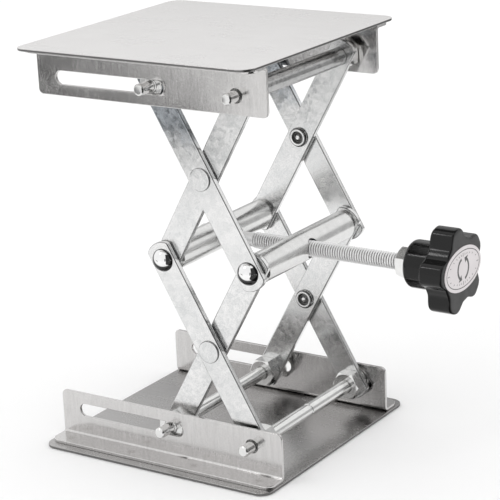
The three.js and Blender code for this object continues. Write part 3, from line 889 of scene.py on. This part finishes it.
def add_knob():
    """A star with rounded edges on a round hub, with a blind hole for the insert."""
    low, high = box("star_knob")
    hub_x, front_x = low.x, high.x
    hole_r = (box("knob_insert")[1].z - box("knob_insert")[0].z) / 2 + 0.06
    deep = box("knob_insert")[1].x + 0.3
    rings = [(0, deep), (hole_r, deep), (hole_r, hub_x)]
    rings += arc(KNOB_HUB_R - 2, hub_x + 2, 2, 3, 4, 8)
    rings += [(KNOB_HUB_R, KNOB_STAR_X - 0.5), (KNOB_HUB_R + 0.15, KNOB_STAR_X - 0.15)]
    rings += [(KNOB_HUB_R + 0.5, KNOB_STAR_X)]
    for inset, x in arc(KNOB_EDGE, KNOB_STAR_X + KNOB_EDGE, KNOB_EDGE, 3, 2, 5):
        rings.append((lambda a, inset=inset: star_r(a, inset), x))
    for inset, x in arc(KNOB_EDGE, front_x - KNOB_EDGE, KNOB_EDGE, 2, 1, 5):
        rings.append((lambda a, inset=inset: star_r(a, inset), x))
    rings += [(lambda a: star_r(a, KNOB_EDGE) * 0.96, front_x), (6, front_x), (0, front_x)]
    knob = loft(rings, 180)
    add("star_knob", placed(knob, ALONG_X, (0, 0, middle("star_knob").z)))


def ellipse(across, up):
    """An oval's radius as a function of the angle, as ALONG_X lays it."""
    return lambda a: across * up / math.hypot(across * math.cos(a), up * math.sin(a))


def add_label():
    """A thick oval sticker with a printed ring, tick marks and two arrows, which stand a little proud."""
    low, high = box("knob_label")
    across, up = (high.y - low.y) / 2, (high.z - low.z) / 2
    centre = Vector((0, 0, (low.z + high.z) / 2))
    back, front = high.x - LABEL_EDGE, high.x + LABEL_PRINT_PROUD

    rings = [(0, low.x), (ellipse(across, up), low.x), (ellipse(across, up), back)]
    rings += [(ellipse(across - LABEL_EDGE, up - LABEL_EDGE), high.x), (0, high.x)]
    add("knob_label", placed(loft(rings, 96), ALONG_X, centre))

    wide = 0.28
    outer = ellipse(across - LABEL_RING_INSET, up - LABEL_RING_INSET)
    inner = ellipse(across - LABEL_RING_INSET - wide, up - LABEL_RING_INSET - wide)
    ring = [(inner, back), (outer, back), (outer, front), (inner, front)]
    print_ring = placed(loft(ring, 96, closed=True), ALONG_X, centre)
    add("knob_label", print_ring, "visual_label_ring", "label_ink")

    ticks_inset = LABEL_RING_INSET + 1.6
    add_ticks(ellipse(across - ticks_inset, up - ticks_inset), back, front, centre)
    add_turn_arrows(back, front, centre)


def add_ticks(oval, back, front, centre):
    """Radial tick marks round an oval, each quarter's first one longer."""
    ticks = bmesh.new()
    for k in range(LABEL_TICKS):
        a = 2 * math.pi * (k / LABEL_TICKS)
        length = 1.3 if k % (LABEL_TICKS // 4) == 0 else 0.7
        size = Matrix.Diagonal((length, 0.22, front - back, 1))
        at = Matrix.Rotation(a, 4, "Z") @ Matrix.Translation((oval(a), 0, (back + front) / 2))
        bmesh.ops.create_cube(ticks, size=1, matrix=at @ size)
    add("knob_label", placed(finished(ticks, "ticks"), ALONG_X, centre), "visual_label_ticks", "label_ink")


def add_turn_arrows(back, front, centre):
    """Two plain curved arrows round the label's middle, for turning either way."""
    radius, half, head = 3.9, 0.45, 1.5
    sweep = 1.35
    bm = bmesh.new()
    for first in (0.2, 2.2):
        outer = arc(0, 0, radius + half, first, first + sweep)
        inner = arc(0, 0, radius - half, first + sweep, first)
        a = (first + sweep) * math.pi / 2
        tip = (radius * math.cos(a + 0.45), radius * math.sin(a + 0.45))
        outer_wing, inner_wing = [(r * math.cos(a), r * math.sin(a)) for r in (radius + head, radius - head)]
        outline = [*outer, outer_wing, tip, inner_wing, *inner]
        lower = [bm.verts.new((x, y, back)) for x, y in outline]
        upper = [bm.verts.new((x, y, front)) for x, y in outline]
        bm.faces.new(upper)
        bm.faces.new(lower[::-1])
        for i in range(len(outline)):
            j = (i + 1) % len(outline)
            bm.faces.new((lower[i], lower[j], upper[j], upper[i]))
    add("knob_label", placed(finished(bm, "arrows"), ALONG_X, centre), "visual_label_arrows", "label_ink")


# ---------- the whole jack ----------


ROD_NUTS = ("base_pivot_nut", "base_slide_nut", "base_slide_thin_nut", "top_pivot_thin_nut", "top_slide_nut")


def add_rails(word, side):
    """The two rails of one side."""
    add_rail(f"base_rail_{word}", side, 1, middle("base_pivot_rod").z)
    add_rail(f"top_rail_{word}", side, -1, middle("top_pivot_rod").z)


def add_linkage(word, side):
    """The arms of one side, and the rivets and pins that they turn on."""
    for storey in ("lower", "upper"):
        # The upper outer arms get the zinc with the blue-grey painted reflection.
        outer_material = "zinc_painted_reflection" if storey == "upper" else None
        add_arm(f"{storey}_outer_arm_{word}", -1, outer_material)
        add_arm(f"{storey}_inner_arm_{word}", 1)
        add_rivet(f"{storey}_rivet_{word}", side)
    for end in ("left", "right"):
        add_pin(f"{end}_pin_{word}", side)


def add_jack():
    add_plate("base_plate", "base_plate_steel")
    add_plate("top_plate", "plate_steel")
    for word, side in SIDES.items():
        add_rails(word, side)
        add_linkage(word, side)
        for nut in ROD_NUTS:
            add_nut(f"{nut}_{word}")
        for washer in ("base_pivot_washer", "top_slide_washer"):
            add_ring(f"{washer}_{word}", ROD_FITTING_BORE_R, ALONG_Y, 0.2)
    add_bar("left_bar", LEFT_BAR_HOLE_R, LEFT_BAR_HOLE_R)
    add_bar("right_bar", RIGHT_BAR_HOLE_R, RIGHT_BAR_SINK_R)
    for rod in ("base_slide_rod", "top_pivot_rod", "top_slide_rod"):
        add_rod(rod, grooved=False)
    add_rod("base_pivot_rod", grooved=True)
    # The tube's darker zinc is painted shade.
    add_ring("top_pivot_tube", ROD_FITTING_BORE_R, ALONG_Y, 0.25, "zinc_in_painted_shade")
    add_lead_screw()
    add_ring("thrust_collar", COLLAR_BORE_R, ALONG_X, 0.3)
    add_ring("retaining_washer", RETAINING_WASHER_BORE_R, ALONG_X, 0.15)
    add_ring("knob_insert", KNOB_INSERT_BORE_R, ALONG_X, 0.2)
    add_knob()
    add_label()
    add_lock_nut()


add_jack()

# ---------- floor, light and camera ----------


FLOOR_GAP = 0.0002
CARD_LIFT = 0.001


def add_floor():
    """A wide sheet of pale paper just under the jack."""
    bm = bmesh.new()
    bmesh.ops.create_grid(bm, x_segments=8, y_segments=8, size=4)
    floor = linked("floor", finished(bm, "floor"))
    floor.location.z = -FLOOR_GAP
    s = Shader("floor_paper")
    soft = s.noise(0.004, 2.0)
    s.set(Base_Color=s.mix(soft, rgb(0.9), rgb(0.93)), Roughness=0.9, Specular_IOR_Level=0.1)
    floor.data.materials.append(s.material)


def add_key_light(place, size, power, target):
    """A small square light, which gives the soft shadow and the highlights."""
    data = bpy.data.lights.new("key", "AREA")
    data.shape = "RECTANGLE"
    data.size, data.size_y = size, size
    data.energy = power
    light = linked("key", data)
    light.location = place
    light.rotation_mode = "QUATERNION"
    light.rotation_quaternion = (Vector(target) - Vector(place)).to_track_quat("-Z", "Y")


def add_card(name, corners, brightness, fade=None):
    """A flat studio card that shows only in the metal's reflections.

    fade is (start, end, brightness at the end), and the brightness changes evenly from start to end.
    """
    bm = bmesh.new()
    bm.faces.new([bm.verts.new(corner) for corner in corners])
    card = linked(name, finished(bm, name))
    s = Shader(name)
    glow = s.add("ShaderNodeEmission", {"Color": rgb(1), "Strength": brightness})
    if fade:
        start, end, last = Vector(fade[0]), Vector(fade[1]), fade[2]
        way = (end - start) / (end - start).length_squared
        offset = s.add("ShaderNodeVectorMath", {0: s.place, 1: start}, operation="SUBTRACT").outputs[0]
        along = s.add("ShaderNodeVectorMath", {0: offset, 1: way}, operation="DOT_PRODUCT").outputs["Value"]
        s.fill(glow, {"Strength": s.spread(along, brightness, last, 0.0, 1.0)})
    s.tree.links.new(glow.outputs[0], s.tree.nodes["Material Output"].inputs["Surface"])
    card.data.materials.append(s.material)
    card.visible_camera = False
    card.visible_shadow = False
    card.visible_diffuse = False


def upright(x1, y1, x2, y2, top):
    """A card's corners, standing on the floor between two places."""
    return [(x1, y1, CARD_LIFT), (x2, y2, CARD_LIFT), (x2, y2, top), (x1, y1, top)]


def overhead(x1, y1, x2, y2, height):
    return [(x1, y1, height), (x2, y1, height), (x2, y2, height), (x1, y2, height)]


def on_floor(*corners):
    return [(x, y, CARD_LIFT) for x, y in corners]


def add_room_cards():
    """A dark room on the knob's side, the camera, and a dim ceiling and grey wall at the back."""
    add_card("room_right", upright(0.55, -0.63, 0.85, -0.2, 1.3), 0.04)
    add_card("room_far_right", upright(0.85, -0.2, 0.85, 0.25, 1.3), 0.04)
    add_card("ground_right", on_floor((0.075, -0.12), (0.55, -0.63), (0.85, -0.1), (0.09, 0.06)), 0.05)
    add_card("camera_body", upright(0.40, -0.68, 0.50, -0.62, 0.33), 0.02)
    add_card("ceiling_back", overhead(-1.0, 0.35, 0.9, 1.0, 1.2), 0.12)
    add_card("low_back", upright(-1.2, 0.45, 0.9, 0.45, 0.235), 0.5)
    near_back = upright(-0.3, 0.2, 0.05, 0.2, 0.125)
    add_card("near_back", near_back, 0.82, ((-0.24, 0.2, 0), (-0.12, 0.2, 0), 0.42))


def add_floor_cards():
    """What the front top rail and the upper arms mirror: a floor that is dark on the left."""
    far_left = on_floor((-0.85, -0.46), (-0.4, -0.46), (-0.3, -0.504), (-0.555, -0.8), (-1.1, -0.8))
    add_card("far_left", far_left, 0.12, ((-0.44, -0.5, 0), (-0.359, -0.569, 0), 0.62))
    left_edge = on_floor((-0.3, -0.504), (-0.245, -0.504), (-0.5, -0.8), (-0.555, -0.8))
    add_card("left_edge", left_edge, 0.62, ((-0.3, -0.504, 0), (-0.268, -0.531, 0), 1.0))
    arm_patch = on_floor((-0.42, -0.455), (-0.3, -0.503), (-0.2, -0.36), (-0.38, -0.34))
    add_card("arm_patch", arm_patch, 0.02, ((-0.3, -0.41, 0), (-0.3, -0.36, 0), 0.9))


def add_world():
    """White to the camera, and a little brighter to diffuse surfaces than to mirrors."""
    world = bpy.data.worlds.new("tent")
    world.use_nodes = True
    world.cycles.sampling_method = "NONE"
    tree = world.node_tree
    background = tree.nodes["Background"]
    path = tree.nodes.new("ShaderNodeLightPath")
    strength = tree.nodes.new("ShaderNodeMapRange")
    strength.inputs["To Min"].default_value = 1.0
    strength.inputs["To Max"].default_value = 1.15
    tree.links.new(path.outputs["Is Diffuse Ray"], strength.inputs["Value"])
    tree.links.new(strength.outputs[0], background.inputs["Strength"])
    background.inputs["Color"].default_value = (1, 0.998, 0.998, 1)
    bpy.context.scene.world = world


def add_camera():
    """A long lens from the front right, turned a little about its own axis."""
    azimuth, elevation, roll = math.radians(34.01), math.radians(17.38), math.radians(-2.6)
    target, distance = Vector((14.18, 0, 72.07)) * MM, 727.08 * MM
    data = bpy.data.cameras.new("camera")
    data.sensor_width = 36
    data.lens = 141.912
    data.clip_start, data.clip_end = 0.01, 20
    camera = linked("camera", data)
    across = math.cos(elevation)
    back = Vector((math.sin(azimuth) * across, -math.cos(azimuth) * across, math.sin(elevation)))
    right = Vector((math.cos(azimuth), math.sin(azimuth), 0))
    up = back.cross(right)
    rolled_right = right * math.cos(roll) + up * math.sin(roll)
    rolled_up = up * math.cos(roll) - right * math.sin(roll)
    axes = Matrix((rolled_right, rolled_up, back)).transposed()
    camera.matrix_world = Matrix.Translation(target + back * distance) @ axes.to_4x4()
    bpy.context.scene.camera = camera


add_floor()
add_key_light(place=(-0.35, -0.4, 0.75), size=0.12, power=0.35, target=(0, 0, 0.07))
add_room_cards()
add_floor_cards()
add_world()
add_camera()
bpy.context.scene.view_settings.view_transform = "Standard"
